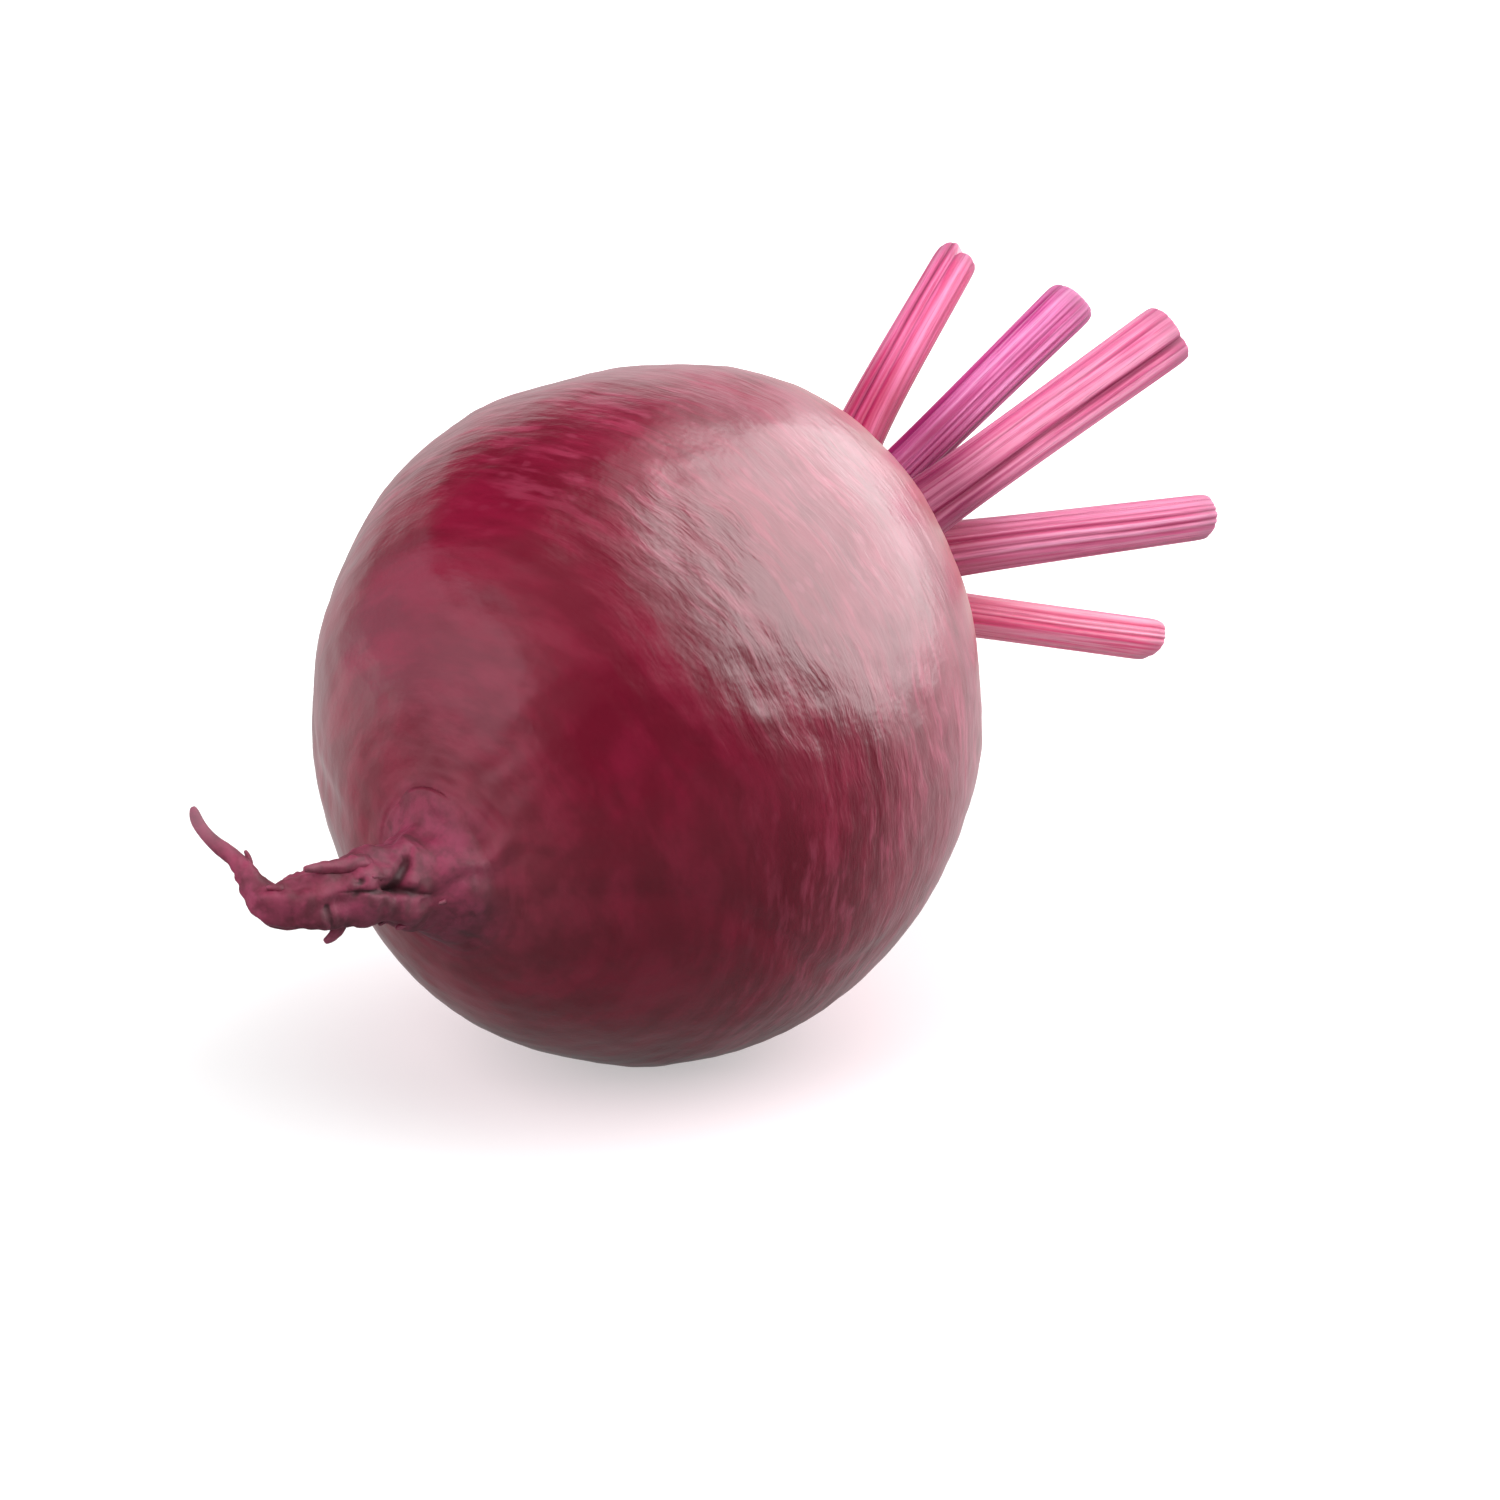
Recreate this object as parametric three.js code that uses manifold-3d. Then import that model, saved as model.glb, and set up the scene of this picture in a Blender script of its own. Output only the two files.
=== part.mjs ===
// A trimmed beetroot lying on its side: the swollen root with its tail, and five cut leaf stems at the crown.
// Millimetres, +Z up. The origin is the centre of the flat spot it rests on, and +Y runs from tail to crown.

import * as THREE from 'three';
import { mergeVertices } from 'three/addons/utils/BufferGeometryUtils.js';
import Module from 'manifold-3d';

const wasm = await Module();
wasm.setup();

const degrees = THREE.MathUtils.degToRad;

// Driving dimensions of the swollen root.
const BODY_HALF_WIDTH = 38.8;
const BODY_HALF_HEIGHT = 41.8;
const CENTRE_TO_TAIL = 42.5; // from the widest place to where the tail leaves
const CENTRE_TO_CROWN = 41.5;
const AXIS_TILT = degrees(9.4); // the crown lies higher than the tail
const CENTRE_HEIGHT = 41; // less than the half height there, so the belly is cut to a flat spot

// Where the flanks swell or sink: a direction from the root's middle (towards +X, upwards and to the crown)
// and how far the surface moves out there.
const SWELLINGS = [
  { towards: [0.25, 0.72, 0.65], height: 0.7 },
  { towards: [0.7, 0.26, 0.68], height: -0.9 },
  { towards: [-0.22, 0.88, 0.35], height: -1 },
  { towards: [-0.76, 0.63, -0.14], height: 0.7 },
  { towards: [-0.76, -0.14, -0.64], height: -1.1 },
  { towards: [-0.28, -0.7, -0.66], height: 0.9 },
  { towards: [0.75, -0.4, -0.5], height: 0.6 },
  { towards: [-0.8, -0.1, 0.6], height: 0.5 },
  { towards: [0.6, 0.7, -0.4], height: -0.4 },
  { towards: [0.04, -1, 0.16], height: 0.5 },
];
const SWELLING_SPREAD = 0.42; // radians

// The crown: a low raised plate, with rings of leaf scars and a hollow in the middle.
const CROWN_RADIUS = 16;
const SHOULDER_RADIUS = 38; // where the plate has run out into the round body
const CROWN_LIFT = 2.2;
const CROWN_HOLLOW = 1.2;
const SCAR_SPACING = 3.6;
const SCAR_HEIGHT = 0.35;

// The tail: thick where it leaves the root, then bent and thinning to its broken tip.
const TAIL_BASE_RADIUS = 4.2;
const TAIL_TIP_RADIUS = 0.85;
const TAIL_THINS_AT = 15.5; // distance from the tip, along the tail, where it thins fastest
const TAIL_THINS_OVER = 3.2;
const TAIL_KNOT_HEIGHT = 0.05; // share of the tail's radius
const FLARE_RADIUS = 4; // how much the tail widens where it meets the root
const FLARE_REACH = 4;

// Where the tail's middle runs, from its tip, in millimetres from the middle of the root.
const TAIL_ROUTE = [
  [-22.5, -58.9, 1.5],
  [-20.9, -59.8, -0.1],
  [-18, -60, -2],
  [-14.6, -60.1, -3.9],
  [-12.3, -60.7, -5.8],
  [-10.1, -60.7, -6.9],
  [-7.9, -59.3, -6.9],
  [-4.1, -54, -6.3],
  [-1.2, -47, -6.8],
];

// Side rootlets on the tail and its foot. The first ones are the broken stubs, and the rest are fine ones.
const ROOTLET_STUBS = [
  { along: 25.5, around: 18, length: 5.4, radius: 1.5, lean: 72 },
  { along: 22.5, around: 170, length: 2.8, radius: 1.1, lean: 50 },
];
const FINE_ROOTLETS = 8;
const FINE_ROOTLET_LENGTH = 2.2;
const FINE_ROOTLET_RADIUS = 0.55;

// Leaf stems, one entry each. The foot is a place on the crown and the tip one beyond it, as distances from
// the root's axis towards +X and upwards, and for the tip also along the axis from the root's middle. The bow
// is how far the stem curves outwards on its way, and the slant tilts its cut end.
const STEMS = [
  { foot: [-1.6, 7], tip: [-7.2, 22.4, 85], bow: 1, footWidth: 7.4, tipWidth: 6.4, slant: 8 },
  { foot: [3.9, 8.2], tip: [10.3, 19.6, 84], bow: 0, footWidth: 5.2, tipWidth: 6.6, slant: 14 },
  { foot: [10, 7.3], tip: [24.2, 17.5, 83.5], bow: 0, footWidth: 6.8, tipWidth: 8, slant: 4 },
  { foot: [6.8, 1.8], tip: [26.6, -8.2, 85], bow: 0, footWidth: 7.8, tipWidth: 6.4, slant: -6 },
  { foot: [5, -4.8], tip: [18.2, -26.6, 83.5], bow: 0, footWidth: 6.2, tipWidth: 6.6, slant: 5 },
];
const STEM_BOW_AT = 0.35; // share of the length
const STEM_THICKNESS = 0.8; // share of the width
const STEM_CHANNEL = 0.5; // how deep the channel is, as a share of half the thickness
const STEM_RIBS = 9;
const STEM_RIB_HEIGHT = 0.055;
const STEM_FLARE = 0.3; // how much wider the foot is
const STEM_FLARE_REACH = 0.14; // share of the length
const STEM_SUNK = 4; // how far a stem runs on into the root before it is cut to the root's surface
const GAP = 0.3; // between neighbouring pieces

// Short stubs of young leaves, trimmed close at the middle and the back of the crown, in the same terms.
const YOUNG_STUBS = [
  { foot: [0.4, 1.6], tip: [0.9, 2.2, 53], footWidth: 3.2, tipWidth: 2.8 },
  { foot: [-4.6, 1.4], tip: [-6.4, 2.2, 55], footWidth: 4, tipWidth: 3.8 },
  { foot: [-0.6, -2.6], tip: [-1.4, -4.6, 51], footWidth: 3.4, tipWidth: 3 },
  { foot: [-8.8, 5.6], tip: [-12.6, 8.2, 51.5], footWidth: 5.4, tipWidth: 4.8 },
  { foot: [-9.6, -2.4], tip: [-14.6, -4, 53.5], footWidth: 5.8, tipWidth: 5.2 },
  { foot: [-4.6, -7.6], tip: [-6.6, -12, 50], footWidth: 5.2, tipWidth: 4.8 },
];

// Fineness of the meshes.
const ROOT_SEGMENTS = 52;
const TAIL_RINGS = 22;
const BODY_RINGS = 34;
const STEM_SECTION_POINTS = 26;
const STEM_RINGS = 9;
const STUB_SECTION_POINTS = 14;
const STUB_RINGS = 3;
const ROOTLET_SIDES = 5;

const COLOURS = { root: 0x6e1a36, stem: 0xe070a4 };

const UP = new THREE.Vector3(0, 0, 1);
const rootMiddle = new THREE.Vector3(0, 0, CENTRE_HEIGHT);
const rootAxis = new THREE.Vector3(0, Math.cos(AXIS_TILT), Math.sin(AXIS_TILT));
const rootSide = new THREE.Vector3(1, 0, 0);
const rootTop = new THREE.Vector3().crossVectors(rootSide, rootAxis);

// A repeatable random draw from 0 to 1.
let randomState = 20;
function random() {
  randomState = (randomState * 1103515245 + 12345) % 2147483648;
  return randomState / 2147483648;
}

// A closed geometry as a solid that can be joined and cut.
function solidOf(geometry) {
  const bare = geometry.clone();
  bare.deleteAttribute('normal');
  bare.deleteAttribute('uv');
  const merged = mergeVertices(bare, 1e-4);
  return new wasm.Manifold(new wasm.Mesh({
    numProp: 3,
    vertProperties: merged.attributes.position.array,
    triVerts: new Uint32Array(merged.index.array),
  }));
}

function geometryOf(solid) {
  const mesh = solid.getMesh();
  const geometry = new THREE.BufferGeometry();
  geometry.setAttribute('position', new THREE.BufferAttribute(mesh.vertProperties, 3));
  geometry.setIndex(new THREE.BufferAttribute(mesh.triVerts, 1));
  geometry.computeVertexNormals();
  return geometry;
}

function meshOf(solid, name, colour, roughness) {
  const material = new THREE.MeshStandardMaterial({ color: colour, roughness, metalness: 0 });
  const mesh = new THREE.Mesh(geometryOf(solid), material);
  mesh.name = name;
  return mesh;
}

// The middle line of the root: along the tail, then straight through the swollen part to the crown.
function rootSpine() {
  const route = TAIL_ROUTE.map((place) => new THREE.Vector3(...place));
  for (const along of [-CENTRE_TO_TAIL, -CENTRE_TO_TAIL / 2, 0, CENTRE_TO_CROWN]) {
    route.push(rootAxis.clone().multiplyScalar(along));
  }
  const spine = new THREE.CatmullRomCurve3(route.map((place) => place.add(rootMiddle)));
  spine.arcLengthDivisions = 1500;
  return spine;
}

const spine = rootSpine();
const spineLength = spine.getLength();
const middleAlong = spineLength - CENTRE_TO_CROWN;
const tailLength = middleAlong - CENTRE_TO_TAIL;

// Position and directions on the root's middle line, at a distance from the tail's tip.
function spineFrame(along) {
  const share = THREE.MathUtils.clamp(along / spineLength, 0, 1);
  const forward = spine.getTangentAt(share);
  const side = new THREE.Vector3().crossVectors(forward, UP).normalize();
  const top = new THREE.Vector3().crossVectors(side, forward);
  return { at: spine.getPointAt(share), forward, side, top };
}

function tailRadius(along) {
  const thick = 1 / (1 + Math.exp((TAIL_THINS_AT - along) / TAIL_THINS_OVER));
  const flare = FLARE_RADIUS * Math.exp(-Math.max(tailLength - along, 0) / FLARE_REACH);
  return THREE.MathUtils.lerp(TAIL_TIP_RADIUS, TAIL_BASE_RADIUS, thick) + flare;
}

// How far the crown's plate stands out of the round body, at a distance from the crown's middle.
function crownLift(radius) {
  const plate = 1 - THREE.MathUtils.smoothstep(radius, CROWN_RADIUS, SHOULDER_RADIUS);
  const hollow = Math.exp(-((radius / (CROWN_RADIUS * 0.35)) ** 2));
  return CROWN_LIFT * plate - CROWN_HOLLOW * hollow;
}

// The larger of two radii, rounded off where they are alike, so that the tail runs smoothly into the root.
function blended(round, tail) {
  return Math.cbrt(round ** 3 + tail ** 3 * Math.max(1 - round / BODY_HALF_WIDTH, 0));
}

// The root's half outline, as distance from the middle line and distance along it.
function rootProfile(grown) {
  const outline = [new THREE.Vector2(0, -grown)];
  for (let ring = 0; ring < TAIL_RINGS; ring++) {
    const along = (tailLength * ring) / TAIL_RINGS;
    outline.push(new THREE.Vector2(tailRadius(along) + grown, along));
  }
  for (let ring = 1; ring < BODY_RINGS; ring++) {
    const turn = (Math.PI * ring) / BODY_RINGS; // from the tail round to the crown
    const round = (BODY_HALF_WIDTH + grown) * Math.sin(turn);
    if (turn < Math.PI / 2) {
      const along = middleAlong - (CENTRE_TO_TAIL + grown) * Math.cos(turn);
      outline.push(new THREE.Vector2(blended(round, tailRadius(along)), along));
    } else {
      const along = middleAlong - (CENTRE_TO_CROWN + grown) * Math.cos(turn);
      outline.push(new THREE.Vector2(round, along + crownLift(round)));
    }
  }
  outline.push(new THREE.Vector2(0, spineLength + grown + crownLift(0)));
  return outline;
}

// How far the flanks stand out of the plain round body in a direction from the root's middle.
function swelling(direction) {
  let height = 0;
  for (const { towards, height: most } of SWELLINGS) {
    const away = direction.angleTo(new THREE.Vector3(...towards));
    height += most * Math.exp(-((away / SWELLING_SPREAD) ** 2));
  }
  return height;
}

// Knots of the tail, as a distance outwards.
function tailKnots(along, turn, radius) {
  const waves = Math.sin(along * 1.25 + 2 * Math.sin(turn)) + Math.sin(along * 0.7 - 3 * turn);
  return TAIL_KNOT_HEIGHT * radius * waves;
}

// Broken rings round the crown, left by the outer leaves.
function scarRelief(radius, turn) {
  const nearCrown = 1 - THREE.MathUtils.smoothstep(radius, CROWN_RADIUS * 0.9, CROWN_RADIUS * 1.25);
  const ring = Math.cos((2 * Math.PI * radius) / SCAR_SPACING + 0.8 * Math.sin(3 * turn));
  return SCAR_HEIGHT * nearCrown * ring;
}

// The whole root with its tail, turned on a straight line and then laid along its own middle line.
function rootBlank(grown) {
  const geometry = new THREE.LatheGeometry(rootProfile(grown), ROOT_SEGMENTS);
  const position = geometry.attributes.position;
  for (let i = 0; i < position.count; i++) {
    const along = position.getY(i);
    const fromMiddle = new THREE.Vector3(position.getX(i), position.getZ(i), along - middleAlong);
    const radius = Math.hypot(fromMiddle.x, fromMiddle.y);
    const turn = Math.atan2(fromMiddle.x, fromMiddle.y);
    const onFlank = THREE.MathUtils.smoothstep(radius, 0, BODY_HALF_WIDTH * 0.6);
    const tall = THREE.MathUtils.lerp(1, BODY_HALF_HEIGHT / BODY_HALF_WIDTH, onFlank);
    const knots = along < tailLength ? tailKnots(along, turn, radius) : 0;
    const outward = radius + onFlank * swelling(fromMiddle) + knots;
    const scars = along > middleAlong ? scarRelief(radius, turn) : 0;
    const pastEnd = along - THREE.MathUtils.clamp(along, 0, spineLength);
    const frame = spineFrame(along);
    const laid = frame.at
      .addScaledVector(frame.side, outward * Math.sin(turn))
      .addScaledVector(frame.top, outward * Math.cos(turn) * tall)
      .addScaledVector(frame.forward, pastEnd + scars);
    position.setXYZ(i, laid.x, laid.y, laid.z);
  }
  return solidOf(geometry);
}

// Height of the crown's surface above the root's widest place, measured along the axis.
function crownSurface(radius) {
  const round = CENTRE_TO_CROWN * Math.sqrt(1 - (radius / BODY_HALF_WIDTH) ** 2);
  return round + crownLift(radius);
}

// A place beside the root's axis, towards +X and upwards, and along the axis from the root's middle.
function beside(side, top, along) {
  return rootMiddle.clone()
    .addScaledVector(rootSide, side)
    .addScaledVector(rootTop, top)
    .addScaledVector(rootAxis, along);
}

function crownPlace([side, top]) {
  return beside(side, top, crownSurface(Math.hypot(side, top)));
}

// A blunt tapered peg from a place, in a direction, sunk a little behind it.
function peg(at, direction, length, footRadius, tipRadius, sunk, sides) {
  const geometry = new THREE.CylinderGeometry(tipRadius, footRadius, length + sunk, sides);
  geometry.translate(0, (length - sunk) / 2, 0);
  geometry.applyQuaternion(new THREE.Quaternion().setFromUnitVectors(new THREE.Vector3(0, 1, 0), direction));
  geometry.translate(at.x, at.y, at.z);
  return solidOf(geometry);
}

// A rootlet that stands on the tail, leaning towards the tail's tip.
function rootlet({ along, around, length, radius, lean }) {
  const frame = spineFrame(along);
  const turn = degrees(around);
  const outward = frame.side.multiplyScalar(Math.sin(turn)).addScaledVector(frame.top, Math.cos(turn));
  const direction = outward.clone().applyAxisAngle(
    new THREE.Vector3().crossVectors(outward, frame.forward).normalize(), -degrees(lean));
  const onSurface = tailRadius(along);
  const at = frame.at.addScaledVector(outward, onSurface * 0.85);
  return peg(at, direction, length, radius, radius * 0.35, onSurface * 0.4, ROOTLET_SIDES);
}

function fineRootlet() {
  return rootlet({
    along: THREE.MathUtils.lerp(9, tailLength - 1, random()),
    around: 360 * random(),
    length: FINE_ROOTLET_LENGTH * (0.6 + 0.8 * random()),
    radius: FINE_ROOTLET_RADIUS * (0.8 + 0.5 * random()),
    lean: THREE.MathUtils.lerp(50, 78, random()),
  });
}

function rootSolid() {
  let solid = rootBlank(0);
  for (const stub of ROOTLET_STUBS) solid = solid.add(rootlet(stub));
  for (let i = 0; i < FINE_ROOTLETS; i++) solid = solid.add(fineRootlet());
  for (const stub of YOUNG_STUBS) solid = solid.add(stemBlank(stub, 0, STUB_SECTION_POINTS, STUB_RINGS));
  const below = new THREE.BoxGeometry(200, 200, 20);
  below.translate(0, 0, -10);
  return solid.subtract(solidOf(below));
}

// A stem's section in units of half its width: a channel towards the crown's axis (+Y), and ribs all round.
function stemSection(points) {
  const outline = [];
  for (let i = 0; i < points; i++) {
    const turn = (2 * Math.PI * i) / points;
    const rib = 1 + STEM_RIB_HEIGHT * Math.cos(STEM_RIBS * turn);
    const across = Math.cos(turn) * rib;
    const channel = 1 - STEM_CHANNEL * Math.exp(-((across / 0.42) ** 2)) * (Math.sin(turn) > 0);
    outline.push(new THREE.Vector2(across, STEM_THICKNESS * Math.sin(turn) * rib * channel));
  }
  return new THREE.Shape(outline);
}

function stemBlank({ foot, tip, bow = 0, footWidth, tipWidth, slant = 0 }, grown, points, rings) {
  const at = crownPlace(foot);
  const end = beside(...tip);
  const straight = end.clone().sub(at).normalize();
  const outward = straight.clone().addScaledVector(rootAxis, -straight.dot(rootAxis)).normalize();
  const start = at.clone().addScaledVector(straight, -STEM_SUNK);
  const between = start.clone().lerp(end, STEM_BOW_AT).addScaledVector(outward, bow);
  const line = new THREE.CatmullRomCurve3([start, between, end]);
  const straightRun = { depth: 1, steps: rings, bevelEnabled: false };
  const geometry = new THREE.ExtrudeGeometry(stemSection(points), straightRun);
  const position = geometry.attributes.position;
  for (let i = 0; i < position.count; i++) {
    const share = position.getZ(i);
    const forward = line.getTangentAt(share);
    const inward = outward.clone().negate().addScaledVector(forward, outward.dot(forward)).normalize();
    const side = new THREE.Vector3().crossVectors(inward, forward);
    const flare = 1 + STEM_FLARE * Math.exp(-share / STEM_FLARE_REACH);
    const half = (THREE.MathUtils.lerp(footWidth, tipWidth, share) / 2) * flare + grown;
    const across = position.getX(i) * half;
    const deep = position.getY(i) * half;
    const cut = Math.tan(degrees(slant)) * deep * share ** 4;
    const laid = line.getPointAt(share)
      .addScaledVector(side, across)
      .addScaledVector(inward, deep)
      .addScaledVector(forward, cut);
    position.setXYZ(i, laid.x, laid.y, laid.z);
  }
  return solidOf(geometry);
}

// The stems, each cut to the root's surface and to the stem before it, a gap clear of both.
function stemSolids() {
  const grownRoot = rootBlank(GAP);
  const blanks = STEMS.map((stem) => stemBlank(stem, 0, STEM_SECTION_POINTS, STEM_RINGS));
  const grown = STEMS.map((stem) => stemBlank(stem, GAP, STEM_SECTION_POINTS, STEM_RINGS));
  return blanks.map((blank, i) => {
    const clearOfRoot = blank.subtract(grownRoot);
    return i > 0 ? clearOfRoot.subtract(grown[i - 1]) : clearOfRoot;
  });
}

const beetroot = new THREE.Group();
beetroot.add(meshOf(rootSolid(), 'beet_root', COLOURS.root, 0.45));
stemSolids().forEach((solid, i) => {
  beetroot.add(meshOf(solid, `stem_${i + 1}`, COLOURS.stem, 0.4));
});

export default beetroot;
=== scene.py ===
import bpy
import math
import numpy as np
from mathutils import Euler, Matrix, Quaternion, Vector


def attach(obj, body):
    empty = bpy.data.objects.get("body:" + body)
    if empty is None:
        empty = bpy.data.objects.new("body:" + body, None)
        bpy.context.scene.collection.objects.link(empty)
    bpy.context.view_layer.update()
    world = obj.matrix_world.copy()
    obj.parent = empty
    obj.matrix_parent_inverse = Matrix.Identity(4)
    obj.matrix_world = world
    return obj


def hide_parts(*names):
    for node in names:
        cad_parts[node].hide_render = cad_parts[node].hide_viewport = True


# A trimmed beetroot lying on its side. Metres, +Z up, +Y from the tail to the crown.
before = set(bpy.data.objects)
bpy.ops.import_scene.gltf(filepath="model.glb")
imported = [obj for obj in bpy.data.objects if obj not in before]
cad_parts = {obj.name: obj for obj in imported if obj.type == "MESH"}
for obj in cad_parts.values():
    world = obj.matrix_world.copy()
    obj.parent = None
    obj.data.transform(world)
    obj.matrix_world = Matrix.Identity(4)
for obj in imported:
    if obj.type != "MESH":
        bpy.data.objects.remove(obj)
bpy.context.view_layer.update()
print("frame loaded")

mm = 0.001
fullTurn = 2 * math.pi
waveTop = 1.4   # brings added waves back to about 1

view = {
    "azimuth": 33.5,        # degrees, 0 looks along +Y
    "elevation": 20,
    "distance": 0.8,
    "lens": 162.2,
    "sensor": 36,
    "aimRight": 11.8 * mm,  # the aim point, from the root's middle
    "aimUp": -4.7 * mm,
}

rootShape = {
    "halfWidth": 38.8 * mm,
    "halfHeight": 41.8 * mm,
    "toTail": 42.5 * mm,     # widest place to where the tail leaves
    "toCrown": 41.5 * mm,
    "tilt": math.radians(9.4),
    "middleHeight": 41 * mm,
    "crownRadius": 16 * mm,
    "shoulderRadius": 38 * mm,
    "crownLift": 2.2 * mm,
    "crownHollow": 1.2 * mm,
    "swellingSpread": 0.42,  # radians
    "blend": 2.3,            # how softly the tail runs into the root, 2 is softest
    "sides": 72,
    "tailRings": 30,
    "lowerRings": 20,
    "upperRings": 12,
    "crownRings": 13,
    "lumps": 0.16 * mm,      # height of the low uneven lumps
    "lumpSize": 14 * mm,
    "grain": 0.05 * mm,      # height of the finest unevenness
    "grainSize": 3.5 * mm,
    "rings": 0.05 * mm,      # height of the uneven rings round the skin
    "ringSpacing": 3.4 * mm,
    "ringPatches": 12 * mm,  # size of the patches where the rings show
    "furrow": 0.5 * mm,      # depth of the two furrows up opposite flanks
    "furrowWidth": 2.2 * mm,
    "furrowTurn": 1.9,       # radians round from the top
    "furrowSway": 0.25,
    "furrowWave": 9 * mm,
    "furrowFrom": (1 * mm, 8 * mm),      # past the tail's end, where they begin and where they are full
    "furrowTo": (-22 * mm, 6 * mm),      # past the widest place, where they start to fade and end
}

# where the flanks swell or sink: direction from the middle (side, top, crown) and height in mm
swellings = [
    ((0.25, 0.72, 0.65), 0.7), ((0.7, 0.26, 0.68), -0.9), ((-0.22, 0.88, 0.35), -1),
    ((-0.76, 0.63, -0.14), 0.7), ((-0.76, -0.14, -0.64), -1.1), ((-0.28, -0.7, -0.66), 0.9),
    ((0.75, -0.4, -0.5), 0.6), ((-0.8, -0.1, 0.6), 0.5), ((0.6, 0.7, -0.4), -0.4),
    ((0.04, -1, 0.16), 0.5),
]

tailShape = {
    "baseRadius": 4.2 * mm,
    "tipRadius": 0.68 * mm,
    "thinsAt": 15.5 * mm,
    "thinsOver": 3.2 * mm,
    "flareRadius": 4 * mm,
    "flareReach": 4 * mm,
    "lip": 1.1 * mm,         # the last widening into the root
    "lipReach": 1.2 * mm,
    "knots": 0.05,
    "wrinkle": 0.13 * mm,
    "wrinkleSpacing": 1.5 * mm,
    "wrinklePatches": 5 * mm,
    "wrinklesFrom": (2 * mm, 14 * mm),   # along the tail, where they begin and where they are full
    "ridge": 0.2 * mm,
    "ridgeCount": 6,
    "ridgeSway": 2.5,
    "ridgePatches": 9 * mm,
    "ridgesFrom": (8 * mm, 20 * mm),
    "dullFoot": (-6 * mm, 15 * mm),      # from the tail's end up the skin, where its look fades
    "smoothFoot": (-1 * mm, 15 * mm),    # where the rings of the root are still missing
    "paleTip": (1 * mm, 9 * mm),
    # from the tip, in mm from the root's middle
    "route": [(-22.5, -58.9, 1.5), (-20.9, -59.8, -0.1), (-18, -60, -2), (-14.6, -60.1, -3.9),
              (-12.3, -60.7, -5.8), (-10.1, -60.7, -6.9), (-7.9, -59.3, -6.9), (-4.1, -54, -6.3),
              (-1.2, -47, -6.8)],
}

# creases and pits of the tail: (along mm, round degrees) end points, half width and depth in mm
tailCreases = [
    ((30.8, 22), (27.5, 73), 0.75, 1.1),
    ((31.6, 92), (27.3, 72), 0.75, 1.1),
    ((22.3, 66), (26.9, 80), 0.32, 0.35),
    ((20.9, 134), (20.7, 86), 0.35, 0.35),
    ((24.1, 53), (24.4, 57), 0.42, 0.5),
    ((23.4, 72), (23.7, 75), 0.4, 0.4),
]

# side rootlets: two broken stubs, then fine ones scattered along the tail; mm and degrees
rootlets = {
    "stubs": [
        {"along": 25.5, "around": 20, "long": 7.6, "thick": 1.15, "lean": 84, "curl": 0},
        {"along": 22.5, "around": 170, "long": 2.8, "thick": 1.1, "lean": 50, "curl": 40},
    ],
    "fine": 8,
    "fineLong": 1.5,
    "fineThick": 0.55,
    "fineLean": (50, 78),
    "fineCurl": 25,
    "firstDraw": 20,
    "sunk": 0.6,             # share of the tail's radius
    "leaves": 0.85,
    "unevenness": 0.12,
    "unevenSize": 1.1 * mm,
    "tipShare": 0.3,
    "sides": 12,
    # share of the length, width
    "rings": [(0, 1.25), (0.16, 1.05), (0.4, 0.86), (0.65, 0.66), (0.86, 0.48), (0.97, 0.38), (1, 0.2)],
}

# leaf stems: foot (side, top), tip (side, top, along), bow, foot and tip width, slant, in mm and degrees
# round, notch and step are mm at the cut end; low and hidden are degrees round the stem
# dark lines, and light lines that are raised ribs with a painted highlight: middle and half width in degrees
# round the stem, strength
stems = [
    {"foot": (-1.6, 7), "tip": (-7.2, 22.4, 85), "bow": 1, "wide": (7.4, 6.4), "slant": 8,
     "round": 0.7, "notch": 0.9, "step": 1.5, "low": 10, "hidden": 140,
     "dark": [(252, 3.5, 0.7), (284, 4, 1.1), (310, 3, 0.7), (10, 6, 0.4)],
     "light": [(336, 8, 0.8), (266, 5, 0.5), (297, 4, 0.6)]},
    {"foot": (3.9, 8.2), "tip": (10.3, 19.6, 84), "wide": (5.2, 6.6), "slant": 14,
     "round": 1.5, "hidden": 105,
     "dark": [(222, 7, 0.7), (280, 2.5, 0.5), (293, 2.5, 0.6), (308, 3, 0.5), (326, 3, 0.4), (347, 9, 1)],
     "light": [(258, 5, 1), (286, 3, 0.5), (317, 5, 0.7)]},
    {"foot": (10, 7.3), "tip": (24.2, 17.5, 83.5), "wide": (6.8, 8), "slant": 4,
     "round": 0.5, "hidden": 85,
     "dark": [(205, 4, 0.4), (237, 3, 0.7), (256, 2, 0.3), (287, 6, 1.9), (304, 3, 0.3), (330, 6, 0.5)],
     "light": [(266, 7, 0.8), (222, 6, 0.5), (312, 6, 0.6)]},
    {"foot": (6.8, 1.8), "tip": (26.6, -8.2, 85), "wide": (7.8, 6.4), "slant": -6,
     "round": 1, "hidden": 35,
     "dark": [(184, 2.5, 0.4), (200, 3, 0.5), (216, 3, 0.8), (238, 3, 0.7), (256, 3, 0.4), (296, 8, 0.6)],
     "light": [(208, 3, 0.6), (227, 4, 1), (247, 4, 0.9), (268, 5, 0.4), (172, 11, 0.5)]},
    {"foot": (5, -4.8), "tip": (18.2, -26.6, 83.5), "wide": (6.2, 6.6), "slant": 5,
     "round": 1.4, "hidden": 15,
     "dark": [(176, 3, 0.4), (192, 3, 0.5), (206, 3, 0.5), (228, 4, 0.4), (275, 8, 0.5)],
     "light": [(160, 14, 0.8), (184, 3, 0.5), (199, 3, 0.6), (214, 4, 0.5)]},
]

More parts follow.
